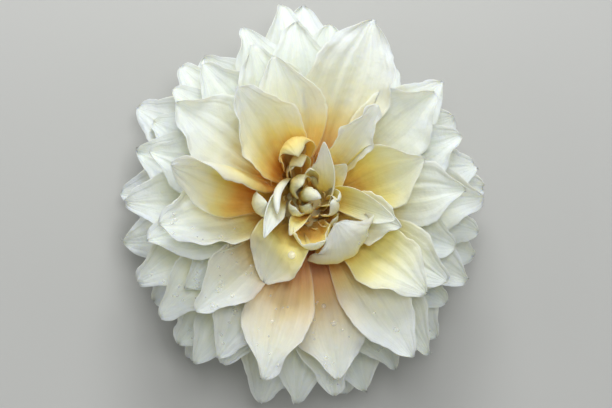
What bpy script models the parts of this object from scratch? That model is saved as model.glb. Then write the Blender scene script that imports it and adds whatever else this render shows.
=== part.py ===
"""A large double dahlia flower head, picked with a short stalk and resting face up.

Blender 4.5 script, in metres, +Z up, standing on Z = 0. Three solids: the bloom (the dome of packed
floret bases with every ray floret grown out of it), the collar of thin inner bracts under the bloom,
and the green stalk, which widens into the cup of the flower and carries the outer bracts.
"""

import math
import random
from dataclasses import dataclass

import bmesh
import bpy
from mathutils import Matrix, Vector

MM = 0.001

# Driving dimensions
DOME_RADIUS = 29 * MM
DOME_HEIGHT = 24 * MM
DOME_MIDDLE_Z = 45 * MM  # height of the dome's widest ring above the table
DOME_BASE_Z = 36 * MM  # height of its flat underside
ROOT_DEPTH = 3 * MM  # how far a floret's root is sunk in the dome
FLORET_THICKNESS = 0.9 * MM
INNER_BRACT_THICKNESS = 0.8 * MM
OUTER_BRACT_THICKNESS = 1.2 * MM
SEAM_GAP = 0.3 * MM  # clearance between two solids that touch

CUP_RADIUS = 15 * MM  # the green cup at the top of the stalk
STALK_RADIUS = 5.5 * MM
STALK_END_Z = 1.5 * MM  # the cut end stays clear of the table
STALK_END_CHAMFER = 0.6 * MM
# The side of the cup from the stalk up: share of its radius, then depth under its top in mm
CUP_SIDE = ((0.37, 20), (0.47, 14), (0.73, 9.5), (0.95, 6), (1, 3.5), (1, 0))
OUTER_BRACT_DEPTH = 8 * MM  # where the outer bracts leave the cup, under its top
OUTER_BRACT_SUNK = 5 * MM  # how far their roots are sunk in it
COLLAR_RADIUS = 21 * MM
COLLAR_HEIGHT = 2.7 * MM
TURNED_SIDES = 18  # sides of every turned shape
DOME_RINGS = 10
SHARP_EDGE = 40  # degrees: edges that turn more than this are shaded sharp

GOLDEN_ANGLE = 137.508  # degrees between one floret and the next along the spiral
BACK_FLORETS = 24
BACK_LEAN = (-10, 8)  # degrees, first and last of the back florets
INNER_BRACTS = 8
OUTER_BRACTS = 5

# Every blade's outline and section, as shares of its length where no unit is given
WIDEST_AT = 0.6
TIP_TAPER = 0.85  # 1 runs the margins nearly straight to the tip, less rounds them
TIP_WIDTH = 1.6 * MM
CLAW_CURL_TO = 0.3  # the narrow claw is curled into a trough up to here
BEAK_FROM = 0.7  # the margins start to pinch up to the tip here
NEST = 0.65  # how closely a blade's section follows a ring round the axis

# The shares of its length at which a blade has a row of points, and the points in a row
ROWS = (0, 0.3, 0.6, 0.84, 1)
HEART_ROWS = (0, 0.25, 0.5, 0.7, 0.85, 1)
HALF_COLUMNS = 1

# How far a floret bends between its root and its tip, by the lean at its root, all in degrees
BEND_BY_LEAN = ((-10, -58), (12, -50), (25, -44), (40, -40), (56, -30), (70, -8), (88, 30))


@dataclass
class Blade:
    """A ray floret or a bract: a thin cupped blade on a narrow claw. Angles are in degrees."""

    azimuth: float  # round the bloom: 0 to the right of the face, 90 to its top
    lean: float  # above level, where it leaves the dome
    reach: float = 0  # from the bloom's axis to the tip, seen from above
    length: float = 0  # along the blade, where no reach is given
    width: float = 38 * MM
    cup: float = 30  # how far each margin turns up across the blade
    lap: float = 0  # share by which the left margin turns up more than the right
    beak: float = 85  # how far each margin turns up at the tip
    bend: float = None  # from root to tip: below 0 it arches back
    hook: float = 0  # more bend, over a part of the blade
    hook_from: float = 0.7  # share of the length where that part starts
    hook_over: float = 0.3  # share of the length that it takes
    roll: float = 8  # turn of the whole blade about its midrib: the left margin laps the next
    twist: float = 0  # more turn, at the tip
    sweep: float = 0  # sideways turn of the midrib, at the tip
    claw: float = 5.5 * MM  # width at the root
    claw_cup: float = 75  # how far each margin of the claw turns up
    root: tuple = None  # distance from the axis and height, where it doesn't grow from the dome

    def __post_init__(self):
        lean = math.radians(self.lean)
        if self.root is None:
            self.root = (
                (DOME_RADIUS - ROOT_DEPTH) * math.cos(lean),
                (DOME_HEIGHT - ROOT_DEPTH) * math.sin(lean) + DOME_MIDDLE_Z,
            )
        if self.bend is None:
            self.bend = interpolated(self.lean, BEND_BY_LEAN)
        if not self.length:
            self.length = (self.reach - self.root[0]) / walk(1, self.midrib())[0]

    def midrib(self):
        """Heading at the root, then (share of the length, turn) for each arc of the midrib."""
        shares = (self.hook_from, self.hook_over, 1 - self.hook_from - self.hook_over)
        turns = (0, self.hook, 0)
        arcs = [(share, self.bend * share + turn) for share, turn in zip(shares, turns)]
        arcs = [(share, math.radians(turn)) for share, turn in arcs if share > 0.001]
        return (math.radians(self.lean), *arcs)


def interpolated(x, table):
    """y at x, on straight lines between the table's (x, y) pairs."""
    if x <= table[0][0]:
        return table[0][1]
    for (x0, y0), (x1, y1) in zip(table, table[1:]):
        if x <= x1:
            return y0 + (y1 - y0) * (x - x0) / (x1 - x0)
    return table[-1][1]


def walk(distance, route):
    """(x, y, heading) after that distance along a chain of arcs, from the origin."""
    heading, *arcs = route
    x = y = 0
    for length, turn in arcs:
        step = min(distance, length)
        turned = turn * step / length
        chord = step * (math.sin(turned / 2) / (turned / 2) if abs(turned) > 1e-6 else 1)
        x += chord * math.cos(heading + turned / 2)
        y += chord * math.sin(heading + turned / 2)
        heading += turned
        distance -= step
        if distance <= 0:
            break
    return x, y, heading


def half_width(blade, s):
    """Half the blade's width at the share s of its length: a claw, an oval and a point."""
    claw = (blade.claw * (1 - s) + TIP_WIDTH * s) / 2
    swell = TIP_TAPER * WIDEST_AT / (1 - WIDEST_AT)
    oval = (s / WIDEST_AT) ** swell * ((1 - s) / (1 - WIDEST_AT)) ** TIP_TAPER
    return claw + max(blade.width / 2 - claw, 0) * oval


def blade_point(blade, s, w, depth):
    """The point at the share s of the blade's length and w, from -1 to 1, across it.

    The depth is how far the point lies under the blade's upper face.
    """
    rho, z, heading = walk(s, blade.midrib())
    rho = rho * blade.length + blade.root[0]
    z = z * blade.length + blade.root[1]

    half = half_width(blade, s)
    claw_share = max(0, 1 - s / CLAW_CURL_TO) ** 2
    beak_share = max(0, (s - BEAK_FROM) / (1 - BEAK_FROM))
    cup = blade.cup * (1 + blade.lap * math.copysign(1, w))
    cup += (blade.beak - cup) * beak_share + (blade.claw_cup - cup) * claw_share
    cup = math.radians(cup)
    cup += NEST * half * math.sin(heading) / max(rho, half)
    across, rise, slope = walk(abs(w) * half, (0, (half, cup)))
    across = math.copysign(across + depth * math.sin(slope), w)
    rise -= depth * math.cos(slope)

    turn = math.radians(blade.roll * min(1, 3 * s) + blade.twist * s * s)
    side = across * math.cos(turn) - rise * math.sin(turn)
    side += math.radians(blade.sweep) * blade.length * s * s / 2
    up = across * math.sin(turn) + rise * math.cos(turn)
    point = Vector((rho - up * math.sin(heading), side, z + up * math.cos(heading)))
    return Matrix.Rotation(math.radians(blade.azimuth), 3, "Z") @ point


# The tips that make the bloom's outline, anticlockwise from the right: azimuth, reach in mm
OUTLINE_TIPS = (
    (2, 98), (14, 102), (31, 98), (42, 102), (57, 97), (69, 108), (83, 100), (90, 117),
    (97, 114), (110, 103), (123, 102), (132, 104), (140, 96), (150, 97), (162, 98), (180, 99),
    (191, 102), (205, 101), (218, 101), (228, 103), (235, 106), (243, 99), (258, 111), (267, 109),
    (278, 106), (289, 108), (299, 103), (309, 106), (316, 104), (326, 95), (335, 98), (345, 100),
    (352, 98),
)
OUTLINE_LEANS = (26, 13, 19.5)  # upper and lower florets take turns
TIP_TURN = 0.4  # degrees that the tip moves round the axis for each degree of sweep

FACE_FLORETS = (
    # Broad florets low on the face, long and nearly level, each lapping the next to its right
    Blade(240, 31, 98 * MM, width=34 * MM, cup=20, roll=0),
    Blade(255, 38, 100 * MM, width=38 * MM, cup=22),
    Blade(279, 33, 98 * MM, width=43 * MM, cup=18, roll=2),
    Blade(303, 37, 101 * MM, width=37 * MM, cup=24, roll=6),
    Blade(216, 34, 82 * MM, width=30 * MM, cup=36, roll=4),
    # Right of the face
    Blade(329, 39, 86 * MM, width=38 * MM, cup=28),
    Blade(343, 33, 84 * MM, width=38 * MM, cup=20, roll=0),
    Blade(4, 38, 85 * MM, width=38 * MM, cup=30),
    Blade(24, 32, 92 * MM, width=38 * MM, cup=18, roll=0),
    Blade(41, 38, 90 * MM, width=44 * MM, cup=24),
    # Top and left of the face
    Blade(71, 38, 103 * MM, width=54 * MM, cup=46, lap=-0.4, beak=60),
    Blade(94, 31, 99 * MM, width=38 * MM, cup=18, roll=0),
    Blade(111, 38, 89 * MM, width=42 * MM, cup=26),
    Blade(128, 32, 94 * MM, width=38 * MM, cup=18, roll=0),
    Blade(145, 39, 88 * MM, width=46 * MM, cup=28),
    Blade(163, 32, 90 * MM, width=36 * MM, cup=18, roll=0),
    Blade(195, 38, 90 * MM, width=40 * MM, cup=28),
    # Upper ring, cupped round the heart
    Blade(170, 54, 76 * MM, width=43 * MM, cup=86, lap=-0.5, beak=50, roll=-34),
    Blade(191, 45, 82 * MM, width=48 * MM, cup=40, lap=0.3),
    Blade(225, 40, 86 * MM, width=34 * MM, cup=38, lap=-0.5, roll=0),
    Blade(320, 46, 80 * MM, width=38 * MM, cup=34, roll=0, hook=-25),
    Blade(341, 55, 50 * MM, width=32 * MM, cup=36),
    Blade(19, 50, 64 * MM, width=42 * MM, cup=44, lap=0.3, beak=100),
    Blade(54, 57, 58 * MM, width=24 * MM, cup=64, beak=80),
    Blade(101, 46, 77 * MM, width=40 * MM, cup=26, roll=0, sweep=8),
    Blade(128, 58, 67 * MM, width=46 * MM, cup=50, beak=44),
)

HEART_FLORETS = (
    # The largest: one cupped like an ear on the right, one that arches over and down on the left
    Blade(
        306, 47, length=62 * MM, width=50 * MM, cup=44, bend=0,
        hook=118, hook_from=0.38, hook_over=0.5, twist=-16, beak=44,
    ),
    Blade(
        232, 58, length=54 * MM, width=34 * MM, cup=34, bend=0,
        hook=-90, hook_from=0.52, hook_over=0.16, sweep=18, beak=60,
    ),
    # Hooded ball above the heart, and the scoop in front of it
    Blade(113, 52, length=54 * MM, width=30 * MM, cup=70, bend=40, hook=110, beak=40),
    Blade(138, 70, length=34 * MM, width=22 * MM, cup=75, bend=30, hook=60, beak=50),
    # The bright crescent that arches up from the middle, and the curls on the left
    Blade(354, 73, length=36 * MM, width=24 * MM, cup=36, bend=50, roll=20, twist=70, sweep=88, beak=60),
    Blade(140, 64, length=48 * MM, width=12 * MM, cup=60, bend=50, hook=50, sweep=50, beak=50),
    Blade(164, 66, length=54 * MM, width=18 * MM, cup=60, bend=30, twist=60, sweep=66, beak=60),
    Blade(156, 80, length=38 * MM, width=12 * MM, cup=60, bend=30, hook=90, beak=50),
    Blade(192, 54, length=46 * MM, width=26 * MM, cup=75, bend=20, hook=100, beak=40),
    # Cups below the heart
    Blade(272, 62, length=44 * MM, width=30 * MM, cup=75, bend=0, hook=60, beak=50),
    Blade(222, 72, length=30 * MM, width=16 * MM, cup=70, bend=10, hook=50, beak=60),
    # Curls on the right
    Blade(10, 68, length=46 * MM, width=22 * MM, cup=55, bend=-50, hook=30, sweep=-50, beak=60),
    Blade(44, 68, length=26 * MM, width=16 * MM, cup=50, bend=-40, hook=20, beak=60),
    Blade(334, 70, length=38 * MM, width=18 * MM, cup=70, bend=20, hook=60, beak=50),
    Blade(352, 76, length=34 * MM, width=14 * MM, cup=55, bend=-10, hook=50, roll=-20, beak=45),
    Blade(262, 78, length=33 * MM, width=12 * MM, cup=55, bend=-30, hook=-50, sweep=-30, beak=60),
    Blade(95, 78, length=30 * MM, width=12 * MM, cup=55, bend=-20, hook=40, roll=20, beak=45),
    Blade(124, 62, length=30 * MM, width=13 * MM, cup=65, bend=20, hook=50, beak=45),
    Blade(252, 76, length=27 * MM, width=12 * MM, cup=65, bend=20, hook=60, beak=45),
    Blade(312, 66, length=32 * MM, width=14 * MM, cup=65, bend=10, hook=50, beak=45),
    Blade(113, 62, length=40 * MM, width=18 * MM, cup=70, bend=20, hook=100, beak=45),
)


def back_florets():
    """The oldest florets, on a spiral round the underside, arched back towards the stalk."""
    draw = random.Random(7)
    found = []
    for i in range(BACK_FLORETS):
        share = i / (BACK_FLORETS - 1)
        found.append(
            Blade(
                azimuth=i * GOLDEN_ANGLE + draw.uniform(-4, 4),
                lean=BACK_LEAN[0] + (BACK_LEAN[1] - BACK_LEAN[0]) * share,
                length=(78 + 12 * share) * MM + draw.uniform(-3, 3) * MM,
                width=(33 + 4 * share) * MM,
                cup=draw.uniform(18, 28),
                roll=0,
            )
        )
    return found


def outline_florets():
    """The florets whose tips make the outline, seen from above."""
    draw = random.Random(11)
    found = []
    for i, (azimuth, reach) in enumerate(OUTLINE_TIPS):
        sweep = draw.uniform(-12, 12)
        found.append(
            Blade(
                azimuth - TIP_TURN * sweep,
                lean=OUTLINE_LEANS[i % len(OUTLINE_LEANS)] + draw.uniform(-1, 1),
                reach=reach * MM,
                width=draw.uniform(33, 40) * MM,
                cup=draw.uniform(16, 32),
                roll=draw.uniform(-2, 6),
                twist=draw.uniform(-12, 12),
                sweep=sweep,
            )
        )
    return found


def inner_bracts():
    """Thin bracts laid along the underside of the lowest florets."""
    return [
        Blade(
            azimuth=i * 360 / INNER_BRACTS,
            lean=-2,
            length=27 * MM,
            width=15 * MM,
            cup=12,
            beak=20,
            bend=-8,
            roll=0,
            claw=12 * MM,
            claw_cup=12,
            root=(COLLAR_RADIUS - ROOT_DEPTH, DOME_BASE_Z - SEAM_GAP - COLLAR_HEIGHT / 2),
        )
        for i in range(INNER_BRACTS)
    ]


def outer_bracts():
    """Green leaf-like bracts that spread from the cup and hang back."""
    return [
        Blade(
            azimuth=20 + i * 360 / OUTER_BRACTS,
            lean=-8,
            length=31 * MM,
            width=14 * MM,
            cup=20,
            beak=20,
            bend=-60,
            roll=0,
            claw=9 * MM,
            claw_cup=20,
            root=(CUP_RADIUS - OUTER_BRACT_SUNK, DOME_BASE_Z - OUTER_BRACT_DEPTH),
        )
        for i in range(OUTER_BRACTS)
    ]


def material(name, rgb, roughness):
    """A plain finish for one sub-part, in linear colour."""
    made = bpy.data.materials.new(name)
    made.use_nodes = True
    shader = made.node_tree.nodes["Principled BSDF"]
    shader.inputs["Base Color"].default_value = (*rgb, 1)
    shader.inputs["Roughness"].default_value = roughness
    return made


def blade_mesh(blade, rows, half_columns, thickness):
    """The blade as a closed shell: a flat slab of triangles, bent to the blade's form."""
    bm = bmesh.new()
    steps = len(rows) - 1
    bmesh.ops.create_grid(bm, x_segments=2 * half_columns, y_segments=steps, size=1)
    bmesh.ops.triangulate(bm, faces=bm.faces, quad_method="FIXED")
    under = bmesh.ops.extrude_face_region(bm, geom=bm.faces[:], use_keep_orig=True)["geom"]
    under = [part for part in under if isinstance(part, bmesh.types.BMVert)]
    bmesh.ops.translate(bm, vec=(0, 0, thickness), verts=under)
    bmesh.ops.triangulate(bm, faces=bm.faces)
    bmesh.ops.recalc_face_normals(bm, faces=bm.faces)
    for vertex in bm.verts:
        row = round((vertex.co.y + 1) / 2 * steps)
        vertex.co = blade_point(blade, rows[row], vertex.co.x, vertex.co.z)
    return bm


def dome_mesh():
    """The packed floret bases: a dome with a flat underside."""
    bm = bmesh.new()
    bmesh.ops.create_uvsphere(bm, u_segments=TURNED_SIDES, v_segments=DOME_RINGS, radius=1)
    bmesh.ops.scale(bm, vec=(DOME_RADIUS, DOME_RADIUS, DOME_HEIGHT), verts=bm.verts)
    bmesh.ops.translate(bm, vec=(0, 0, DOME_MIDDLE_Z), verts=bm.verts)
    geometry = [*bm.verts, *bm.edges, *bm.faces]
    base = Vector((0, 0, DOME_BASE_Z))
    bmesh.ops.bisect_plane(bm, geom=geometry, plane_co=base, plane_no=(0, 0, 1), clear_inner=True)
    bmesh.ops.holes_fill(bm, edges=[edge for edge in bm.edges if edge.is_boundary])
    return bm


def turned_mesh(profile, closed):
    """A profile of (distance from the axis, height) points, spun once round the axis."""
    bm = bmesh.new()
    corners = [bm.verts.new((radius, 0, z)) for radius, z in profile]
    edges = [bm.edges.new(pair) for pair in zip(corners, corners[1:])]
    if closed:
        edges.append(bm.edges.new((corners[-1], corners[0])))
    bmesh.ops.spin(
        bm,
        geom=[*corners, *edges],
        axis=(0, 0, 1),
        cent=(0, 0, 0),
        angle=2 * math.pi,
        steps=TURNED_SIDES,
        use_merge=True,
    )
    bmesh.ops.remove_doubles(bm, verts=bm.verts, dist=0.01 * MM)
    bmesh.ops.recalc_face_normals(bm, faces=bm.faces)
    return bm


def new_object(name, bm, finish, collection):
    """An object at the origin with this mesh."""
    mesh = bpy.data.meshes.new(name)
    bm.normal_update()
    bm.to_mesh(mesh)
    bm.free()
    mesh.materials.append(finish)
    made = bpy.data.objects.new(name, mesh)
    collection.objects.link(made)
    return made


def grown_solid(name, core_mesh, blades, thickness, finish):
    """The core with every blade grown out of it, as one solid cut level at Z = 0."""
    scene = bpy.context.scene.collection
    core = new_object(name, core_mesh, finish, scene)
    loose = bpy.data.collections.new(f"{name}_blades")
    scene.children.link(loose)
    for i, (blade, rows) in enumerate(blades):
        new_object(f"{name}_blade_{i}", blade_mesh(blade, rows, HALF_COLUMNS, thickness), finish, loose)

    table_mesh = bmesh.new()
    size = 300 * MM
    bmesh.ops.create_cube(table_mesh, size=size)
    bmesh.ops.translate(table_mesh, vec=(0, 0, -size / 2), verts=table_mesh.verts)
    table = new_object("below_table", table_mesh, finish, scene)
    table.hide_render = True
    table.display_type = "WIRE"

    union = core.modifiers.new("union", "BOOLEAN")
    union.operation = "UNION"
    union.operand_type = "COLLECTION"
    union.collection = loose
    union.solver = "MANIFOLD"
    cut = core.modifiers.new("cut", "BOOLEAN")
    cut.operation = "DIFFERENCE"
    cut.object = table
    cut.solver = "MANIFOLD"
    joined = core.evaluated_get(bpy.context.evaluated_depsgraph_get())
    core.data = bpy.data.meshes.new_from_object(joined)
    core.data.name = name
    core.modifiers.clear()
    for used in (*loose.objects, table):
        bpy.data.objects.remove(used)
    bpy.data.collections.remove(loose)
    keep_largest_shell(core.data)
    return core


def keep_largest_shell(mesh):
    """Drops loose scraps, and the walls of hollows that the fusing sealed."""
    bm = bmesh.new()
    bm.from_mesh(mesh)
    unseen = set(bm.faces)
    shells = []
    while unseen:
        edge_of_shell = [unseen.pop()]
        shell = list(edge_of_shell)
        while edge_of_shell:
            face = edge_of_shell.pop()
            for neighbour in {near for edge in face.edges for near in edge.link_faces}:
                if neighbour in unseen:
                    unseen.remove(neighbour)
                    edge_of_shell.append(neighbour)
                    shell.append(neighbour)
        shells.append(shell)
    shells.sort(key=len)
    for shell in shells[:-1]:
        bmesh.ops.delete(bm, geom=shell, context="FACES")
    bm.to_mesh(mesh)
    bm.free()


def bloom():
    """The dome and all ray florets: back, outline, face and heart."""
    petal = material("petal", (0.93, 0.87, 0.72), 0.55)
    outer = [*back_florets(), *outline_florets(), *FACE_FLORETS]
    blades = [*((blade, ROWS) for blade in outer), *((blade, HEART_ROWS) for blade in HEART_FLORETS)]
    return grown_solid("bloom", dome_mesh(), blades, FLORET_THICKNESS, petal)


def bract_collar():
    """The thin inner bracts on their ring, round the cup and just under the dome."""
    papery = material("inner_bract", (0.72, 0.74, 0.45), 0.5)
    top = DOME_BASE_Z - SEAM_GAP
    inside = CUP_RADIUS + SEAM_GAP
    profile = (
        (inside, top - COLLAR_HEIGHT),
        (COLLAR_RADIUS, top - COLLAR_HEIGHT),
        (COLLAR_RADIUS, top),
        (inside, top),
    )
    blades = [(blade, ROWS) for blade in inner_bracts()]
    ring = turned_mesh(profile, closed=True)
    return grown_solid("inner_bracts", ring, blades, INNER_BRACT_THICKNESS, papery)


def stalk():
    """The cut stalk, the cup that it widens into, and the outer bracts on the cup."""
    green = material("stalk", (0.20, 0.33, 0.09), 0.5)
    top = DOME_BASE_Z - SEAM_GAP
    profile = (
        (0, STALK_END_Z),
        (STALK_RADIUS - STALK_END_CHAMFER, STALK_END_Z),
        (STALK_RADIUS, STALK_END_Z + STALK_END_CHAMFER),
        *((CUP_RADIUS * share, top - depth * MM) for share, depth in CUP_SIDE),
        (0, top),
    )
    blades = [(blade, ROWS) for blade in outer_bracts()]
    core = turned_mesh(profile, closed=False)
    return grown_solid("stalk", core, blades, OUTER_BRACT_THICKNESS, green)


def main():
    for old in list(bpy.data.objects):
        bpy.data.objects.remove(old)
    pieces = [bloom(), bract_collar(), stalk()]

    # The origin goes under the middle of the bloom's box
    corners = [vertex.co for vertex in pieces[0].data.vertices]
    middle = [(min(c[axis] for c in corners) + max(c[axis] for c in corners)) / 2 for axis in (0, 1)]
    for piece in pieces:
        piece.data.transform(Matrix.Translation((-middle[0], -middle[1], 0)))
        piece.data.shade_smooth()
        piece.data.set_sharp_from_angle(angle=math.radians(SHARP_EDGE))


if __name__ == "__main__":
    main()
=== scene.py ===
"""A cut dahlia bloom, cream with a curled yellow heart, lying face up on its lowest petals."""

import math
import random
from dataclasses import dataclass

import bmesh
import bpy
from mathutils import Matrix, Vector


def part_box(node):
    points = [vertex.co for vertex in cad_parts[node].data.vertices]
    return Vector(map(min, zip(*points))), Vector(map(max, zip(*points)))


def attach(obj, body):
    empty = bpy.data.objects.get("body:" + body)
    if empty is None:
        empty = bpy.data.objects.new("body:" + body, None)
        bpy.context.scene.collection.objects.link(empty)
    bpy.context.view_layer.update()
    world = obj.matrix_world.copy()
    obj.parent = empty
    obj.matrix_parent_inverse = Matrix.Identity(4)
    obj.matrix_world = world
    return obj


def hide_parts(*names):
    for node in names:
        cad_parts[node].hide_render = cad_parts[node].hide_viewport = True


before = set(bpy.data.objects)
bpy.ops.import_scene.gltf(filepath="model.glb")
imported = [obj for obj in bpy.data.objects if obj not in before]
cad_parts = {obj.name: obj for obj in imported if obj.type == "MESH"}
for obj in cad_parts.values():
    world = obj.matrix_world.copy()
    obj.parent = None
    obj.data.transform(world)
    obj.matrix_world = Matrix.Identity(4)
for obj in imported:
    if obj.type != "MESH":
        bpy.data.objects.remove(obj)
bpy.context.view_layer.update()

MM = 0.001


# The green stalk, cut short under the flower. It is a juicy hollow stem with fine ridges, and it widens
# into the cup that holds the whole head. Five leafy outer bracts grow from the side of the cup and hang
# back. Stem, cup and outer bracts are one growth.

collar_low, collar_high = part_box("inner_bracts")  # the collar is regular, so its middle is the axis
axis_of_flower = Vector(((collar_low.x + collar_high.x) / 2, (collar_low.y + collar_high.y) / 2, 0))

GOLDEN_ANGLE = 137.508
DOME_RADIUS, DOME_HEIGHT = 29 * MM, 24 * MM
DOME_MIDDLE_Z, DOME_BASE_Z = 45 * MM, 36 * MM
ROOT_DEPTH = 3 * MM
SEAM_GAP = 0.3 * MM
CUP_RADIUS = 15 * MM

WIDEST_AT, TIP_TAPER, TIP_WIDTH = 0.6, 0.85, 0.9 * MM
CLAW_CURL_TO, BEAK_FROM = 0.3, 0.7
NEST = 0.65  # how much a blade curls round the petals inside it
BEND_BY_LEAN = ((-10, -58), (12, -50), (25, -44), (40, -40), (56, -30), (70, -8), (88, 30))
BROAD = 40 * MM  # width of a blade with pleats and ruffles of full height
MARGIN_THINNING = 0.7  # share of its thickness that a blade loses from the midrib to the margin


@dataclass
class Blade:
    """A floret or bract: a thin cupped blade on a narrow claw. Angles are in degrees."""

    azimuth: float  # round the flower, 0 to the right of its face and 90 to its top
    lean: float  # above level, where it leaves the dome
    reach: float = 0  # from the axis to the tip, seen from above
    length: float = 0  # along the blade, where no reach is given
    width: float = 38 * MM
    cup: float = 30  # how far each margin turns up across the blade
    lap: float = 0  # share by which the left margin turns up more than the right
    beak: float = 85  # how far each margin turns up at the tip
    bend: float = None  # from root to tip: below 0 it arches back
    hook: float = 0  # more bend, over a part of the blade
    hook_from: float = 0.7
    hook_over: float = 0.3
    roll: float = 8  # turn of the whole blade about its midrib
    twist: float = 0  # more turn, at the tip
    sweep: float = 0  # sideways turn of the midrib, at the tip
    claw: float = 5.5 * MM
    claw_cup: float = 75
    root: tuple = None  # distance from the axis and height, where it doesn't grow from the dome

    def __post_init__(self):
        lean = math.radians(self.lean)
        if self.root is None:
            self.root = (
                (DOME_RADIUS - ROOT_DEPTH) * math.cos(lean),
                (DOME_HEIGHT - ROOT_DEPTH) * math.sin(lean) + DOME_MIDDLE_Z,
            )
        if self.bend is None:
            self.bend = between(self.lean, BEND_BY_LEAN)
        if not self.length:
            self.length = (self.reach - self.root[0]) / walk(1, self.midrib())[0]

    def midrib(self):
        """Heading at the root, then (share of the length, turn) for each arc of the midrib."""
        shares = (self.hook_from, self.hook_over, 1 - self.hook_from - self.hook_over)
        arcs = [(share, self.bend * share + turn) for share, turn in zip(shares, (0, self.hook, 0))]
        arcs = [(share, math.radians(turn)) for share, turn in arcs if share > 0.001]
        return (math.radians(self.lean), *arcs)


def between(x, table):
    """y at x, on straight lines between the table's (x, y) pairs."""
    if x <= table[0][0]:
        return table[0][1]
    for (x0, y0), (x1, y1) in zip(table, table[1:]):
        if x <= x1:
            return y0 + (y1 - y0) * (x - x0) / (x1 - x0)
    return table[-1][1]


def walk(distance, route):
    """(x, y, heading) after that distance along a chain of arcs, from the origin."""
    heading, *arcs = route
    x = y = 0
    for length, turn in arcs:
        step = min(distance, length)
        turned = turn * step / length
        chord = step * (math.sin(turned / 2) / (turned / 2) if abs(turned) > 1e-6 else 1)
        x += chord * math.cos(heading + turned / 2)
        y += chord * math.sin(heading + turned / 2)
        heading += turned
        distance -= step
        if distance <= 0:
            break
    return x, y, heading


def blade_point(blade, s, w, depth):
    """The point at the share s of the blade's length and w, from -1 to 1, across it.

    The depth is how far the point lies under the blade's upper face.
    """
    rho, z, heading = walk(s, blade.midrib())
    rho = rho * blade.length + blade.root[0]
    z = z * blade.length + blade.root[1]

    claw = (blade.claw * (1 - s) + TIP_WIDTH * s) / 2
    swell = TIP_TAPER * WIDEST_AT / (1 - WIDEST_AT)
    oval = (s / WIDEST_AT) ** swell * ((1 - s) / (1 - WIDEST_AT)) ** TIP_TAPER
    half = claw + max(blade.width / 2 - claw, 0) * oval

    claw_share = max(0, 1 - s / CLAW_CURL_TO) ** 2
    beak_share = max(0, (s - BEAK_FROM) / (1 - BEAK_FROM))
    cup = blade.cup * (1 + blade.lap * math.copysign(1, w))
    cup += (blade.beak - cup) * beak_share + (blade.claw_cup - cup) * claw_share
    cup = math.radians(cup)
    cup += NEST * half * math.sin(heading) / max(rho, half)
    across, rise, slope = walk(abs(w) * half, (0, (half, cup)))
    across = math.copysign(across + depth * math.sin(slope), w)
    rise -= depth * math.cos(slope)

    turn = math.radians(blade.roll * min(1, 3 * s) + blade.twist * s * s)
    side = across * math.cos(turn) - rise * math.sin(turn)
    side += math.radians(blade.sweep) * blade.length * s * s / 2
    up = across * math.sin(turn) + rise * math.cos(turn)
    point = Vector((rho - up * math.sin(heading), side, z + up * math.cos(heading)))
    return Matrix.Rotation(math.radians(blade.azimuth), 3, "Z") @ point + axis_of_flower


def living_form(seed):
    """What makes one blade differ from the next: (phases, ruffles along its margin, their height)."""
    draw = random.Random(seed)
    phases = [draw.uniform(0, 2 * math.pi) for _ in range(6)]
    return phases, draw.uniform(1.6, 3.6), draw.uniform(0.9, 2.6)


def living_point(blade, form, s, w, depth, wavy):
    """blade_point of the living blade: pleated along its length, with ruffled and slightly torn margins."""
    phases, ruffles, height = form
    side = math.copysign(1, w)

    # Heights in millimetres on a broad blade
    size = wavy * blade.width / BROAD * MM
    along = math.sin(math.pi * min(1, 0.08 + s)) ** 0.6
    pleats = 0.5 * math.cos(5 * math.pi * w + phases[0] + 1.5 * s)
    pleats += 0.24 * math.cos(9 * math.pi * w + phases[1] - 2 * s)
    crease = -1.1 * math.exp(-((w / 0.12) ** 2)) * (1 - 0.6 * s)
    ruffle = math.sin(2 * math.pi * ruffles * (s + 0.1 * side) + phases[2] * side)
    ruffle += 0.4 * math.sin(2 * math.pi * 2.3 * ruffles * s + phases[4] * side)
    ruffle *= height * abs(w) ** 3 * min(1, max(0, 2 * s - 0.5))
    swell = 0.9 * math.sin(2 * math.pi * (1.1 * s + 0.3 * w) + phases[3]) * s
    stands = size * ((pleats * (1 - w * w) + crease) * along + ruffle + swell)

    # Shares of the half width
    torn = 0.025 * math.sin(31 * s + phases[4] + side) + 0.02 * math.sin(57 * s + phases[5] - side)
    torn *= min(1, max(0, 3 * s - 1))
    pinched = 0.24 * math.exp(-(((s - 0.88) / 0.1) ** 2))
    share = 1 - wavy * (abs(torn) + pinched)
    return blade_point(blade, s, w * share, depth - stands)


def faces_at(vertices):
    """The faces round the vertices, each once and always in the same order."""
    return list(dict.fromkeys(face for vertex in vertices for face in vertex.link_faces))


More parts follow.
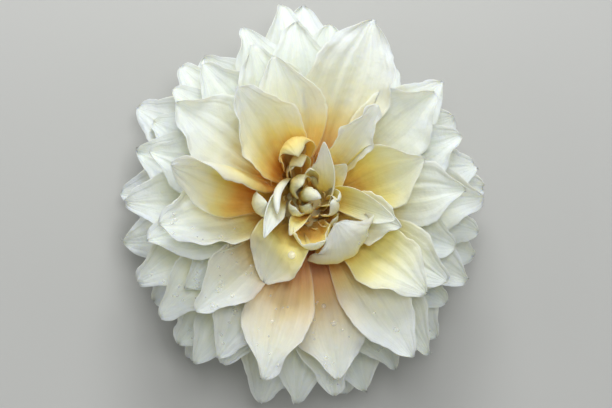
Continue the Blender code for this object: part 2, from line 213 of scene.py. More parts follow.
def add_blade(bm, blade, rows, columns, thickness, tint, seed, wavy=1.0):
    """Adds the blade to the mesh as a closed shell: a flat slab of faces, bent to the blade's form.

    Its UV map holds w and s. Its points keep the tint for the material, and as alpha the share of a broad
    blade's width.
    """
    uv = bm.loops.layers.uv.get("blade") or bm.loops.layers.uv.new("blade")
    kept = bm.verts.layers.float_color.get("tint") or bm.verts.layers.float_color.new("tint")
    form = living_form(seed)
    upper = bmesh.ops.create_grid(bm, x_segments=columns, y_segments=rows, size=1)["verts"]
    sheet = faces_at(upper)
    under = bmesh.ops.extrude_face_region(bm, geom=sheet, use_keep_orig=True)["geom"]
    under = [part for part in under if isinstance(part, bmesh.types.BMVert)]
    bmesh.ops.translate(bm, vec=(0, 0, 1), verts=under)
    shell = faces_at((*upper, *under))
    bmesh.ops.recalc_face_normals(bm, faces=shell)
    for face in shell:
        face.smooth = True
        for loop in face.loops:
            loop[uv].uv = (loop.vert.co.x / 2 + 0.5, loop.vert.co.y / 2 + 0.5)
    for vertex in (*upper, *under):
        w, s, below = vertex.co.x, vertex.co.y / 2 + 0.5, vertex.co.z
        depth = below * thickness * (1 - MARGIN_THINNING * w * w)
        vertex.co = living_point(blade, form, s, w, depth, wavy)
        vertex.co.z = max(vertex.co.z, (1 - below) * thickness / 2)
        vertex[kept] = (*tint, blade.width / BROAD)


def add_turned(bm, profile, sides):
    """Adds a profile of (distance from the axis, height) points, spun once round the axis."""
    corners = [bm.verts.new((radius, 0, z)) for radius, z in profile]
    edges = [bm.edges.new(pair) for pair in zip(corners, corners[1:])]
    bmesh.ops.spin(
        bm, geom=[*corners, *edges], axis=(0, 0, 1), cent=(0, 0, 0),
        angle=2 * math.pi, steps=sides, use_merge=True,
    )
    bmesh.ops.remove_doubles(bm, verts=bm.verts, dist=0.01 * MM)
    bmesh.ops.recalc_face_normals(bm, faces=bm.faces)
    bmesh.ops.translate(bm, vec=axis_of_flower, verts=bm.verts)
    for face in bm.faces:
        face.smooth = True


def finished(name, bm, finish):
    """The mesh as an object at the origin, in its material."""
    mesh = bpy.data.meshes.new(name)
    bm.normal_update()
    bm.to_mesh(mesh)
    bm.free()
    mesh.materials.append(finish)
    piece = bpy.data.objects.new(name, mesh)
    bpy.context.scene.collection.objects.link(piece)
    return piece


def linear(hex_colour):
    """An sRGB colour as linear red, green, blue and alpha."""
    shares = [int(hex_colour[i : i + 2], 16) / 255 for i in (0, 2, 4)]
    return (*(c / 12.92 if c <= 0.04045 else ((c + 0.055) / 1.055) ** 2.4 for c in shares), 1)


def add(tree, kind, sockets, **settings):
    """Adds a node with its settings, and fills each socket with a value or another node's output."""
    made = tree.nodes.new(kind)
    for setting, value in settings.items():
        setattr(made, setting, value)
    for socket, value in sockets.items():
        if isinstance(value, bpy.types.NodeSocket):
            tree.links.new(value, made.inputs[socket])
        else:
            made.inputs[socket].default_value = value
    return made


# Green stem tissue: a waxy skin over fine ridges that run up the stem, mottled at a few millimetres
stem = bpy.data.materials.new("green_stem")
stem.use_nodes = True
tree = stem.node_tree
place = add(tree, "ShaderNodeTexCoord", {})
stretched = add(tree, "ShaderNodeMapping", {"Vector": place.outputs["Object"], "Scale": (1, 1, 0.08)})
ridges = add(tree, "ShaderNodeTexNoise", {"Vector": stretched.outputs[0], "Scale": 900, "Detail": 3})
mottle = add(tree, "ShaderNodeTexNoise", {"Vector": place.outputs["Object"], "Scale": 220, "Detail": 4})
green = add(
    tree, "ShaderNodeMix",
    {0: mottle.outputs["Fac"], 6: linear("5F7A2E"), 7: linear("8FA352")},
    data_type="RGBA",
)
streaked = add(
    tree, "ShaderNodeMix",
    {0: 0.35, 6: green.outputs[2], 7: ridges.outputs["Color"]},
    data_type="RGBA", blend_type="SOFT_LIGHT",
)
raised = add(
    tree, "ShaderNodeBump",
    {"Height": ridges.outputs["Fac"], "Strength": 0.6, "Distance": 0.3 * MM},
)
shader = tree.nodes["Principled BSDF"]
tree.links.new(streaked.outputs[2], shader.inputs["Base Color"])
tree.links.new(raised.outputs[0], shader.inputs["Normal"])
shader.inputs["Roughness"].default_value = 0.42
shader.inputs["Subsurface Weight"].default_value = 0.2
shader.inputs["Subsurface Radius"].default_value = (0.5, 1, 0.3)
shader.inputs["Subsurface Scale"].default_value = 1.5 * MM

STALK_RADIUS, STALK_END_Z = 5.5 * MM, 1.5 * MM
cup_top = DOME_BASE_Z - SEAM_GAP
profile = (
    (0, STALK_END_Z + 2 * MM),
    (0.45 * STALK_RADIUS, STALK_END_Z + 2 * MM),
    (0.55 * STALK_RADIUS, STALK_END_Z),
    (STALK_RADIUS - 0.6 * MM, STALK_END_Z),
    (STALK_RADIUS, STALK_END_Z + 0.6 * MM),
    (0.367 * CUP_RADIUS, cup_top - 20 * MM),
    (0.39 * CUP_RADIUS, cup_top - 17 * MM),
    (0.47 * CUP_RADIUS, cup_top - 14 * MM),
    (0.58 * CUP_RADIUS, cup_top - 11.8 * MM),
    (0.73 * CUP_RADIUS, cup_top - 9.5 * MM),
    (0.86 * CUP_RADIUS, cup_top - 7.6 * MM),
    (0.95 * CUP_RADIUS, cup_top - 6 * MM),
    (CUP_RADIUS, cup_top - 3.5 * MM),
    (CUP_RADIUS, cup_top),
    (0, cup_top),
)
OUTER_BRACTS = 5
bm = bmesh.new()
add_turned(bm, profile, 64)
for i in range(OUTER_BRACTS):
    bract = Blade(
        azimuth=20 + i * 360 / OUTER_BRACTS, lean=-8, length=31 * MM, width=14 * MM, cup=20, beak=20,
        bend=-60, roll=0, claw=9 * MM, claw_cup=20, root=(CUP_RADIUS - 5 * MM, DOME_BASE_Z - 8 * MM),
    )
    add_blade(bm, bract, 30, 12, 1.2 * MM, (0, 0, 0), seed=500 + i)
stalk = finished("stem_and_outer_bracts", bm, stem)
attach(stalk, "root")
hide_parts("stalk")


# The inner bracts: eight thin, pale, papery scales on a low ring. They lie against the underside of the
# lowest petals and hold them together. They grow from the rim of the cup.

# Dry papery tissue: greener at the root, straw-coloured at the tip, with veins about 0.6 mm apart
papery = bpy.data.materials.new("papery_bract")
papery.use_nodes = True
tree = papery.node_tree
spot = add(tree, "ShaderNodeUVMap", {}, uv_map="blade")
parts = add(tree, "ShaderNodeSeparateXYZ", {"Vector": spot.outputs[0]})
veins_at = add(tree, "ShaderNodeMapping", {"Vector": spot.outputs[0], "Scale": (26, 1.5, 1)})
veins = add(tree, "ShaderNodeTexNoise", {"Vector": veins_at.outputs[0], "Scale": 1, "Detail": 3})
aged = add(
    tree, "ShaderNodeMix",
    {0: parts.outputs["Y"], 6: linear("A9B36A"), 7: linear("E3DDB0")},
    data_type="RGBA",
)
veined = add(
    tree, "ShaderNodeMix",
    {0: 0.4, 6: aged.outputs[2], 7: veins.outputs["Color"]},
    data_type="RGBA", blend_type="SOFT_LIGHT",
)
raised = add(
    tree, "ShaderNodeBump",
    {"Height": veins.outputs["Fac"], "Strength": 0.5, "Distance": 0.2 * MM},
)
shader = tree.nodes["Principled BSDF"]
tree.links.new(veined.outputs[2], shader.inputs["Base Color"])
tree.links.new(raised.outputs[0], shader.inputs["Normal"])
shader.inputs["Roughness"].default_value = 0.5
shader.inputs["Subsurface Weight"].default_value = 0.3
shader.inputs["Subsurface Radius"].default_value = (1, 0.9, 0.5)
shader.inputs["Subsurface Scale"].default_value = 2 * MM

INNER_BRACTS = 8
COLLAR_RADIUS, COLLAR_HEIGHT = 21 * MM, 2.7 * MM
collar_top = DOME_BASE_Z - SEAM_GAP
bm = bmesh.new()
ring = (
    (CUP_RADIUS + SEAM_GAP, collar_top - COLLAR_HEIGHT),
    (COLLAR_RADIUS, collar_top - COLLAR_HEIGHT),
    (COLLAR_RADIUS, collar_top),
    (CUP_RADIUS + SEAM_GAP, collar_top),
    (CUP_RADIUS + SEAM_GAP, collar_top - COLLAR_HEIGHT),
)
add_turned(bm, ring, 64)
for i in range(INNER_BRACTS):
    bract = Blade(
        azimuth=i * 360 / INNER_BRACTS, lean=-2, length=27 * MM, width=15 * MM, cup=12, beak=20,
        bend=-8, roll=0, claw=12 * MM, claw_cup=12,
        root=(COLLAR_RADIUS - ROOT_DEPTH, collar_top - COLLAR_HEIGHT / 2),
    )
    add_blade(bm, bract, 28, 12, 0.8 * MM, (0, 0, 0), seed=600 + i, wavy=0.5)
collar = finished("papery_inner_bracts", bm, papery)
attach(collar, "root")
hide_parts("inner_bracts")


# The petals are ray florets: living tissue a third of a millimetre thick, wet from rain. White at the tip
# and cream along the blade, they deepen to ochre and orange at the claw. Fine veins run from claw to tip,
# and light soaks through them. Each grows from the domed head by its own claw.

petal = bpy.data.materials.new("cream_petal")
petal.use_nodes = True
tree = petal.node_tree
spot = add(tree, "ShaderNodeUVMap", {}, uv_map="blade")
parts = add(tree, "ShaderNodeSeparateXYZ", {"Vector": spot.outputs[0]})
kept = add(tree, "ShaderNodeAttribute", {}, attribute_name="tint")
tint = add(tree, "ShaderNodeSeparateColor", {"Color": kept.outputs["Color"]})
place = add(tree, "ShaderNodeTexCoord", {})

# Blotches of 15 mm shift where each colour starts, and the tint's red moves the whole run along the blade
blotch = add(tree, "ShaderNodeTexNoise", {"Vector": place.outputs["Object"], "Scale": 65, "Detail": 3})
uneven = add(
    tree, "ShaderNodeMath",
    {0: blotch.outputs["Fac"], 1: 0.3, 2: parts.outputs["Y"]},
    operation="MULTIPLY_ADD",
)
shifted = add(
    tree, "ShaderNodeMath",
    {0: uneven.outputs[0], 1: tint.outputs["Red"]},
    operation="SUBTRACT",
)
colour = linear("DE9236")
for start, end, next_colour in (
    (0.12, 0.28, "F2BA60"),
    (0.24, 0.44, "F2DE94"),
    (0.38, 0.64, "EEF1D4"),
    (0.6, 0.95, "E9F1E7"),
):
    share = add(
        tree, "ShaderNodeMapRange",
        {"Value": shifted.outputs[0], "From Min": start, "From Max": end},
        interpolation_type="SMOOTHSTEP",
    )
    mixed = add(
        tree, "ShaderNodeMix",
        {0: share.outputs[0], 6: colour, 7: linear(next_colour)},
        data_type="RGBA",
    )
    colour = mixed.outputs[2]

# Blush and green, as much as the tint's green and blue say, fading towards the tip
fading = add(
    tree, "ShaderNodeMapRange",
    {"Value": shifted.outputs[0], "From Min": 0.25, "From Max": 0.8, "To Min": 1, "To Max": 0.08},
)
patchy = add(
    tree, "ShaderNodeMapRange",
    {"Value": blotch.outputs["Fac"], "From Min": 0.3, "From Max": 0.7, "To Min": 0.6},
)
where = add(tree, "ShaderNodeMath", {0: patchy.outputs[0], 1: fading.outputs[0]}, operation="MULTIPLY")
for amount, hue in ((tint.outputs["Green"], "F3AF90"), (tint.outputs["Blue"], "EEE286")):
    much = add(tree, "ShaderNodeMath", {0: where.outputs[0], 1: amount}, operation="MULTIPLY")
    mixed = add(
        tree, "ShaderNodeMix",
        {0: much.outputs[0], 6: colour, 7: linear(hue)},
        data_type="RGBA",
    )
    colour = mixed.outputs[2]

# Veins about 1 mm apart, a little darker and lower than the tissue between them
veins_at = add(tree, "ShaderNodeMapping", {"Vector": spot.outputs[0], "Scale": (34, 1.6, 1)})
veins = add(
    tree, "ShaderNodeTexNoise",
    {"Vector": veins_at.outputs[0], "Scale": 1, "Detail": 4, "Roughness": 0.6},
)
depth_of_vein = add(
    tree, "ShaderNodeMapRange",
    {"Value": veins.outputs["Fac"], "From Min": 0.35, "From Max": 0.65, "To Min": 0.945},
)
mixed = add(
    tree, "ShaderNodeMix",
    {0: 1, 6: colour, 7: depth_of_vein.outputs[0]},
    data_type="RGBA", blend_type="MULTIPLY",
)
colour = mixed.outputs[2]

# The thin margins are painted paler: a painted highlight for light that catches and shines through the thin
# edge
from_middle = add(tree, "ShaderNodeMath", {0: parts.outputs["X"], 1: 0.5}, operation="SUBTRACT")
outward = add(tree, "ShaderNodeMath", {0: from_middle.outputs[0]}, operation="ABSOLUTE")
rim_highlight = add(
    tree, "ShaderNodeMapRange",
    {"Value": outward.outputs[0], "From Min": 0.48, "From Max": 0.5, "To Max": 0.3},
    interpolation_type="SMOOTHSTEP",
)
mixed = add(
    tree, "ShaderNodeMix",
    {0: rim_highlight.outputs[0], 6: colour, 7: linear("F0F4E2")},
    data_type="RGBA",
)
colour = mixed.outputs[2]

# Shallow pleats run along the blade, about nine side by side, and lower on the narrow ones
pleats_at = add(tree, "ShaderNodeMapping", {"Vector": spot.outputs[0], "Scale": (9, 0.9, 1)})
pleats = add(tree, "ShaderNodeTexNoise", {"Vector": pleats_at.outputs[0], "Scale": 1, "Detail": 1})
as_wide = add(
    tree, "ShaderNodeMath",
    {0: pleats.outputs["Fac"], 1: kept.outputs["Alpha"]},
    operation="MULTIPLY",
)
pleated = add(
    tree, "ShaderNodeBump",
    {"Height": as_wide.outputs[0], "Strength": 0.8, "Distance": 1.1 * MM},
)

# Soft crinkles of about 4 mm, where the tissue grew unevenly
crinkles = add(tree, "ShaderNodeTexNoise", {"Vector": place.outputs["Object"], "Scale": 240, "Detail": 2})
crinkled = add(
    tree, "ShaderNodeBump",
    {
        "Height": crinkles.outputs["Fac"], "Strength": 0.7, "Distance": 0.7 * MM,
        "Normal": pleated.outputs[0],
    },
)

# The cells of the skin are too fine to show, so its pebbled grain is drawn at about 0.5 mm. The wet
# patches are glossier.
cells = add(tree, "ShaderNodeTexNoise", {"Vector": place.outputs["Object"], "Scale": 1800, "Detail": 2})
grain = add(
    tree, "ShaderNodeMath",
    {0: cells.outputs["Fac"], 1: 0.25, 2: veins.outputs["Fac"]},
    operation="MULTIPLY_ADD",
)
raised = add(
    tree, "ShaderNodeBump",
    {"Height": grain.outputs[0], "Strength": 0.6, "Distance": 0.25 * MM, "Normal": crinkled.outputs[0]},
)
wetness = add(
    tree, "ShaderNodeMapRange",
    {"Value": blotch.outputs["Fac"], "From Min": 0.35, "From Max": 0.65, "To Min": 0.58, "To Max": 0.42},
)
shader = tree.nodes["Principled BSDF"]
tree.links.new(colour, shader.inputs["Base Color"])
tree.links.new(wetness.outputs[0], shader.inputs["Roughness"])
tree.links.new(raised.outputs[0], shader.inputs["Normal"])
shader.inputs["Subsurface Weight"].default_value = 0.7
shader.inputs["Subsurface Radius"].default_value = (1, 0.85, 0.5)
shader.inputs["Subsurface Scale"].default_value = 3.5 * MM
shader.inputs["Specular IOR Level"].default_value = 0.3

FLORET_THICKNESS = 0.8 * MM  # twice the real one, as in the solids, so that the thin shells stay sound


def add_petals(name, blades, rows, columns, seed, wavy=1.0):
    """One piece of petals, given as (blade, tint) pairs, in place of the bloom's solid.

    A tint is how far the warm colours reach up the blade, its blush, and its green-yellow. On petals that
    lie in shade, these are partly painted shade.
    """
    bm = bmesh.new()
    for i, (blade, tint) in enumerate(blades):
        add_blade(bm, blade, rows, columns, FLORET_THICKNESS, tint, seed + i, wavy)
    piece = finished(name, bm, petal)
    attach(piece, "root")
    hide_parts("bloom")


# The domed head that the florets grow from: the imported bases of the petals, a dome set all over with
# small pale scales. It is hidden but for the gaps in the heart.

bm = bmesh.new()
dome = bmesh.ops.create_uvsphere(bm, u_segments=48, v_segments=24, radius=1)["verts"]
bmesh.ops.scale(bm, vec=(DOME_RADIUS, DOME_RADIUS, DOME_HEIGHT), verts=dome)
bmesh.ops.translate(bm, vec=axis_of_flower + Vector((0, 0, DOME_MIDDLE_Z)), verts=dome)
bmesh.ops.bisect_plane(
    bm, geom=[*bm.verts, *bm.edges, *bm.faces],
    plane_co=(0, 0, DOME_BASE_Z), plane_no=(0, 0, 1), clear_inner=True,
)
bmesh.ops.holes_fill(bm, edges=[edge for edge in bm.edges if edge.is_boundary])
for face in bm.faces:
    face.smooth = True
SCALES = 130
# The scales' deep ochre is partly painted shade, for the gaps in the heart where they show
for i in range(SCALES):
    up = 1 - 0.75 * i / SCALES
    scale = Blade(
        azimuth=i * GOLDEN_ANGLE, lean=math.degrees(math.asin(up)), length=13 * MM, width=5.5 * MM,
        cup=50, beak=70, bend=30, roll=0, claw=3 * MM,
    )
    add_blade(bm, scale, 7, 4, 0.6 * MM, (0.75, 0, 0.25), seed=700 + i, wavy=0.3)
bases = finished("floret_bases", bm, petal)
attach(bases, "root")
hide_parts("bloom")


# The back petals are the oldest. They stand in a spiral round the underside, arched back towards the
# stalk, and the flower's weight presses their tips flat on whatever it lies on.

BACK_FLORETS = 24
BACK_LEAN = (-10, 8)
draw = random.Random(7)
back = []
for i in range(BACK_FLORETS):
    share = i / (BACK_FLORETS - 1)
    blade = Blade(
        azimuth=i * GOLDEN_ANGLE + draw.uniform(-4, 4),
        lean=BACK_LEAN[0] + (BACK_LEAN[1] - BACK_LEAN[0]) * share,
        length=(78 + 12 * share) * MM + draw.uniform(-3, 3) * MM,
        width=(33 + 4 * share) * MM,
        cup=draw.uniform(18, 28),
        roll=0,
    )
    back.append((blade, (0.05, 0.15, 0.1)))
add_petals("back_petals", back, 36, 18, seed=100)


# The outline petals, full and open. Their tips make the flower's outline, seen from its face. Upper and
# lower ones take turns round the head.

OUTLINE_TIPS = (  # azimuth in degrees, and millimetres from the axis
    (2, 98), (14, 102), (31, 98), (42, 102), (57, 97), (69, 108), (83, 100), (90, 117),
    (97, 114), (110, 103), (123, 102), (132, 104), (140, 96), (150, 97), (162, 98), (180, 99),
    (191, 102), (205, 101), (218, 101), (228, 103), (235, 106), (243, 99), (258, 111), (267, 109),
    (278, 106), (289, 108), (299, 103), (309, 106), (316, 104), (326, 95), (335, 98), (345, 100),
    (352, 98),
)
OUTLINE_LEANS = (26, 13, 19.5)
OUTLINE_SEED = 200
TIP_TURN = 0.4  # degrees that the tip moves round the axis for each degree of sweep
draw = random.Random(11)
outline = []
for i, (azimuth, reach) in enumerate(OUTLINE_TIPS):
    sweep = draw.uniform(-12, 12)
    blade = Blade(
        azimuth - TIP_TURN * sweep,
        lean=OUTLINE_LEANS[i % len(OUTLINE_LEANS)] + draw.uniform(-1, 1),
        reach=reach * MM,
        width=draw.uniform(33, 40) * MM,
        cup=draw.uniform(16, 32),
        roll=draw.uniform(-2, 6),
        twist=draw.uniform(-12, 12),
        sweep=sweep,
    )
    # The lit top and left keep the whitest tint. The warmer, greener tint on the other outline petals is
    # partly painted shade
    at_lit_top_left = 60 < azimuth < 200  # the whitest side
    outline.append((blade, (0.05, 0.05, 0.1) if at_lit_top_left else (0.1, 0.12, 0.25)))
add_petals("outline_petals", outline, 40, 20, OUTLINE_SEED)


# The face petals: the broad ones that the eye sees first. The lowest ones lie long and nearly level, and
# the upper ring stands up and cups round the heart.

FACE_FLORETS = (
    # Low on the face, each lapping the next. Their warm bases and blush are partly their own colour and
    # partly painted shade, most on the two at the bottom
    (Blade(240, 31, 98 * MM, width=34 * MM, cup=20, roll=0), (0.08, 0.4, 0)),
    (Blade(255, 38, 100 * MM, width=38 * MM, cup=22), (0.18, 0.85, 0)),
    (Blade(279, 33, 98 * MM, width=43 * MM, cup=18, roll=2), (0.18, 0.8, 0)),
    (Blade(303, 37, 101 * MM, width=37 * MM, cup=24, roll=6), (0.08, 0.4, 0)),
    (Blade(216, 34, 82 * MM, width=30 * MM, cup=36, roll=4), (0.05, 0.15, 0.15)),
    # Right of the face. The green-yellow of the two lowest here is partly painted shade
    (Blade(329, 39, 86 * MM, width=38 * MM, cup=28), (0.14, 0.05, 0.6)),
    (Blade(343, 33, 84 * MM, width=38 * MM, cup=20, roll=0), (0.1, 0.05, 0.5)),
    (Blade(4, 38, 85 * MM, width=38 * MM, cup=30), (0.08, 0.05, 0.2)),
    (Blade(24, 32, 92 * MM, width=38 * MM, cup=18, roll=0), (0.02, 0.05, 0.1)),
    (Blade(41, 38, 90 * MM, width=44 * MM, cup=24), (0.02, 0.08, 0.1)),
    # Top and left of the face
    (Blade(71, 38, 103 * MM, width=54 * MM, cup=46, lap=-0.4, beak=60), (0.03, 0.35, 0)),
    (Blade(94, 31, 99 * MM, width=38 * MM, cup=18, roll=0), (0.05, 0.05, 0)),
    (Blade(111, 38, 89 * MM, width=42 * MM, cup=26), (0.06, 0.05, 0)),
    (Blade(128, 32, 94 * MM, width=38 * MM, cup=18, roll=0), (0.03, 0.05, 0)),
    (Blade(145, 39, 88 * MM, width=46 * MM, cup=28), (0.03, 0.05, 0)),
    (Blade(163, 32, 90 * MM, width=36 * MM, cup=18, roll=0), (0.03, 0.05, 0)),
    (Blade(195, 38, 90 * MM, width=40 * MM, cup=28), (0.03, 0.05, 0.15)),
    # The upper ring, cupped round the heart
    (Blade(170, 54, 76 * MM, width=43 * MM, cup=86, lap=-0.5, beak=50, roll=-34), (0.3, 0.2, 0.1)),
    (Blade(191, 45, 82 * MM, width=48 * MM, cup=40, lap=0.3), (0.08, 0, 0.4)),
    (Blade(225, 40, 86 * MM, width=34 * MM, cup=38, lap=-0.5, roll=0), (0.1, 0.55, 0)),
    # Its strong green-yellow is partly painted shade
    (Blade(320, 46, 80 * MM, width=38 * MM, cup=34, roll=0, hook=-25), (0.22, 0, 0.85)),
    (Blade(341, 55, 50 * MM, width=32 * MM, cup=36), (0.12, 0, 0.6)),
    (Blade(19, 50, 64 * MM, width=42 * MM, cup=44, lap=0.3, beak=100), (0.27, 0, 0.6)),
    (Blade(54, 57, 58 * MM, width=24 * MM, cup=64, beak=80), (0.06, 0.1, 0.15)),
    (Blade(101, 46, 77 * MM, width=40 * MM, cup=26, roll=0, sweep=8), (0.14, 0.05, 0.1)),
    (Blade(128, 58, 67 * MM, width=46 * MM, cup=50, beak=44), (0.22, 0.1, 0.2)),
)
FACE_SEED = 300
add_petals("face_petals", FACE_FLORETS, 44, 24, FACE_SEED)


# The heart: the youngest florets, still rolled and hooded, yellow and a little green. A large ear curls
# round its right side, one floret folds over and down at its left, and a bright crescent arches over it.

HEART_SEED = 400
HEART_WAVY = 0.6  # young florets are smoother
HEART_FLORETS = (
    # The ear, and the one that folds over
    (
        Blade(
            306, 47, length=62 * MM, width=50 * MM, cup=44, bend=0,
            hook=118, hook_from=0.38, hook_over=0.5, twist=-16, beak=44,
        ),
        (0.26, 0.2, 0.6),
    ),
    # Its ochre runs far up the blade, partly as painted shade in the hollow before its fold
    (
        Blade(
            232, 58, length=54 * MM, width=34 * MM, cup=34, bend=0,
            hook=-90, hook_from=0.52, hook_over=0.16, sweep=18, beak=60,
        ),
        (0.3, 0.1, 0.8),
    ),
    (
        Blade(113, 52, length=54 * MM, width=30 * MM, cup=70, bend=40, hook=110, beak=40),
        (0.62, 0.2, 0.4),
    ),
    (Blade(138, 70, length=34 * MM, width=22 * MM, cup=75, bend=30, hook=60, beak=50), (0.5, 0.1, 0.5)),
    (
        Blade(
            354, 73, length=36 * MM, width=24 * MM, cup=36,
            bend=50, roll=20, twist=70, sweep=88, beak=60,
        ),
        (0.16, 0, 0.9),
    ),
    (
        Blade(140, 64, length=48 * MM, width=12 * MM, cup=60, bend=50, hook=50, sweep=50, beak=50),
        (0.16, 0, 0.7),
    ),
    (
        Blade(164, 66, length=54 * MM, width=18 * MM, cup=60, bend=30, twist=60, sweep=66, beak=60),
        (0.12, 0, 0.6),
    ),
    (Blade(156, 80, length=38 * MM, width=12 * MM, cup=60, bend=30, hook=90, beak=50), (0.34, 0, 0.6)),
    (Blade(192, 54, length=46 * MM, width=26 * MM, cup=75, bend=20, hook=100, beak=40), (0.42, 0, 0.6)),
    # Cups below the middle
    (Blade(272, 62, length=44 * MM, width=30 * MM, cup=75, bend=0, hook=60, beak=50), (0.42, 0, 0.5)),
    (Blade(222, 72, length=30 * MM, width=16 * MM, cup=70, bend=10, hook=50, beak=60), (0.42, 0, 0.5)),
    # Curls on the right
    (
        Blade(10, 68, length=46 * MM, width=22 * MM, cup=55, bend=-50, hook=30, sweep=-50, beak=60),
        (0.2, 0, 0.7),
    ),
    (Blade(44, 68, length=26 * MM, width=16 * MM, cup=50, bend=-40, hook=20, beak=60), (0.28, 0, 0.8)),
    (Blade(334, 70, length=38 * MM, width=18 * MM, cup=70, bend=20, hook=60, beak=50), (0.34, 0.5, 0.4)),
    (
        Blade(352, 76, length=34 * MM, width=14 * MM, cup=55, bend=-10, hook=50, roll=-20, beak=45),
        (0.34, 0, 0.8),
    ),
    # The smallest, in the middle
    (
        Blade(262, 78, length=33 * MM, width=12 * MM, cup=55, bend=-30, hook=-50, sweep=-30, beak=60),
        (0.5, 0, 0.45),
    ),
    (
        Blade(95, 78, length=30 * MM, width=12 * MM, cup=55, bend=-20, hook=40, roll=20, beak=45),
        (0.5, 0, 0.45),
    ),
    (Blade(124, 62, length=30 * MM, width=13 * MM, cup=65, bend=20, hook=50, beak=45), (0.5, 0, 0.45)),
    (Blade(252, 76, length=27 * MM, width=12 * MM, cup=65, bend=20, hook=60, beak=45), (0.5, 0, 0.45)),
    (Blade(312, 66, length=32 * MM, width=14 * MM, cup=65, bend=10, hook=50, beak=45), (0.5, 0, 0.45)),
    (Blade(113, 62, length=40 * MM, width=18 * MM, cup=70, bend=20, hook=100, beak=45), (0.5, 0.2, 0.5)),
)
add_petals("heart_petals", HEART_FLORETS, 48, 20, HEART_SEED, HEART_WAVY)


# Rain drops: clear water beaded on the waxy skin, about a quarter as high as wide. Most lie on the lower
# petals. They come off with a shake, so they are only here, and not in the solids.

# Clear water, seen by its sharp highlights, with the petal showing through. Its near-white colour is
# painted light: it stands in for the glow of light gathered in the drops
water = bpy.data.materials.new("rain_water")
water.use_nodes = True
shader = water.node_tree.nodes["Principled BSDF"]
shader.inputs["Base Color"].default_value = linear("F8FAF6")
shader.inputs["Roughness"].default_value = 0.03
shader.inputs["IOR"].default_value = 1.333
shader.inputs["Specular IOR Level"].default_value = 1
shader.inputs["Coat Weight"].default_value = 1
shader.inputs["Coat Roughness"].default_value = 0.02
shader.inputs["Alpha"].default_value = 0.4

# Groups of petals with drops on them: the petals, their first seed, and how wavy they are
ON_OUTLINE = (outline, OUTLINE_SEED, 1)
ON_FACE = (FACE_FLORETS, FACE_SEED, 1)
ON_HEART = (HEART_FLORETS, HEART_SEED, HEART_WAVY)
LARGEST_DROPS = (  # group, which petal, s, w, radius, and whether it lies on the under face
    (ON_FACE, 19, 0.51, -0.9, 1.4 * MM, False),
    (ON_FACE, 19, 0.47, -0.72, 1.1 * MM, False),
    (ON_FACE, 19, 0.72, -0.12, 1.3 * MM, False),
    (ON_FACE, 19, 0.77, 0.04, 1.5 * MM, False),
    (ON_FACE, 19, 0.88, 0.5, 1.2 * MM, False),
    (ON_FACE, 18, 0.88, -0.04, 1.2 * MM, False),
    (ON_HEART, 1, 0.6, 0.5, 2.2 * MM, False),
    (ON_HEART, 0, 0.62, 0.5, 1.5 * MM, True),
    (ON_HEART, 0, 0.7, 0.2, 1 * MM, True),
    (ON_FACE, 2, 0.49, -0.04, 1.3 * MM, False),
    (ON_FACE, 2, 0.62, 0.13, 1.6 * MM, False),
    (ON_FACE, 3, 0.8, 0.04, 1.5 * MM, False),
)
# The wettest petals, and the s from which their drops lie in sight
WETTEST_FACE = (ON_FACE, (0, 1, 2, 3, 4, 18, 19), 0.45)
WETTEST_OUTLINE = (ON_OUTLINE, (17, 18, 19, 20, 21, 22, 24, 26, 28), 0.65)
SMALL_DROPS = 110
DROP_HEIGHT = 0.55  # above the skin, in radii
draw = random.Random(23)
drops = list(LARGEST_DROPS)
for i in range(SMALL_DROPS):
    group, wettest, inner = WETTEST_FACE if i % 3 else WETTEST_OUTLINE
    which = draw.choice(wettest)
    s, w = draw.uniform(inner, 0.93), draw.uniform(-0.8, 0.8)
    drops.append((group, which, s, w, draw.triangular(0.35, 1.2, 0.45) * MM, False))
bm = bmesh.new()
for (petals, first_seed, wavy), which, s, w, radius, under in drops:
    blade, form = petals[which][0], living_form(first_seed + which)
    depth = FLORET_THICKNESS * (1 - MARGIN_THINNING * w * w) if under else 0
    skin = living_point(blade, form, s, w, depth, wavy)
    outward = living_point(blade, form, s, w, depth + (MM if under else -MM), wavy) - skin
    sits = Matrix.Translation(skin) @ outward.to_track_quat("Z", "Y").to_matrix().to_4x4()
    bead = Matrix.Diagonal((radius, radius * draw.uniform(1, 1.25), radius * DROP_HEIGHT, 1))
    bmesh.ops.create_uvsphere(bm, u_segments=16, v_segments=10, radius=1, matrix=sits @ bead)
for face in bm.faces:
    face.smooth = True
rain = finished("rain_drops", bm, water)
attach(rain, "root")


# The floor: a large pale matt surface, not part of the flower.

FLOOR_REACH = 3
bm = bmesh.new()
bmesh.ops.create_grid(bm, x_segments=1, y_segments=1, size=FLOOR_REACH)
paint = bpy.data.materials.new("pale_matt_paint")
paint.use_nodes = True
paint.node_tree.nodes["Principled BSDF"].inputs["Base Color"].default_value = linear("BDBEBC")
paint.node_tree.nodes["Principled BSDF"].inputs["Roughness"].default_value = 0.8
floor = finished("floor", bm, paint)


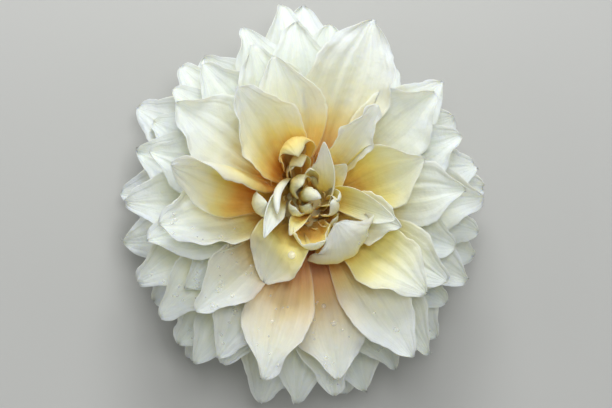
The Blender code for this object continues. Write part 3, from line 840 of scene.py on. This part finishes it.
# Soft studio light: a window-like panel beyond the top of the flower, another high over it, two weaker
# ones at its sides, and an even pale surround.

PANELS = (  # place, size, watts
    ((-0.04, 0.78, 0.58), 0.45, 6.2),
    ((0, 0.12, 1.2), 0.45, 4.6),
    ((-1.2, -0.1, 0.7), 0.8, 2.4),
    ((1.2, -0.1, 0.7), 0.8, 2.4),
)
LIT_POINT = Vector((0, 0, 0.06))
for i, (place, size, watts) in enumerate(PANELS):
    lamp = bpy.data.lights.new(f"panel_{i}", "AREA")
    lamp.energy = watts
    lamp.size = size
    panel = bpy.data.objects.new(f"panel_{i}", lamp)
    panel.location = place
    panel.rotation_euler = (LIT_POINT - Vector(place)).to_track_quat("-Z", "Y").to_euler()
    bpy.context.scene.collection.objects.link(panel)
surround = bpy.data.worlds.new("surround")
surround.use_nodes = True
surround.node_tree.nodes["Background"].inputs["Color"].default_value = linear("F4F5F2")
surround.node_tree.nodes["Background"].inputs["Strength"].default_value = 0.27
bpy.context.scene.world = surround
bpy.context.scene.view_settings.view_transform = "Standard"


# The camera looks down on the face of the flower, tilted a few degrees as in the photograph.

CAMERA_DISTANCE = 0.95
PICTURE_WIDTH, METRES_PER_PIXEL = 612, 0.55 * MM  # at the height of the outline petals
OUTLINE_Z = 55 * MM
FROM_LEFT, FROM_BELOW = math.radians(5), math.radians(7)
target = axis_of_flower + Vector((0, 0, OUTLINE_Z))
back_to_camera = Vector((-math.sin(FROM_LEFT), -math.sin(FROM_BELOW), 1)).normalized()
right = Vector((0, 1, 0)).cross(back_to_camera).normalized()
lens = bpy.data.cameras.new("camera")
lens.sensor_width = 36
lens.lens = lens.sensor_width * CAMERA_DISTANCE / (PICTURE_WIDTH * METRES_PER_PIXEL)
camera = bpy.data.objects.new("camera", lens)
turned = Matrix((right, back_to_camera.cross(right), back_to_camera)).transposed().to_4x4()
camera.matrix_world = Matrix.Translation(target + back_to_camera * CAMERA_DISTANCE) @ turned
bpy.context.scene.collection.objects.link(camera)
bpy.context.scene.camera = camera
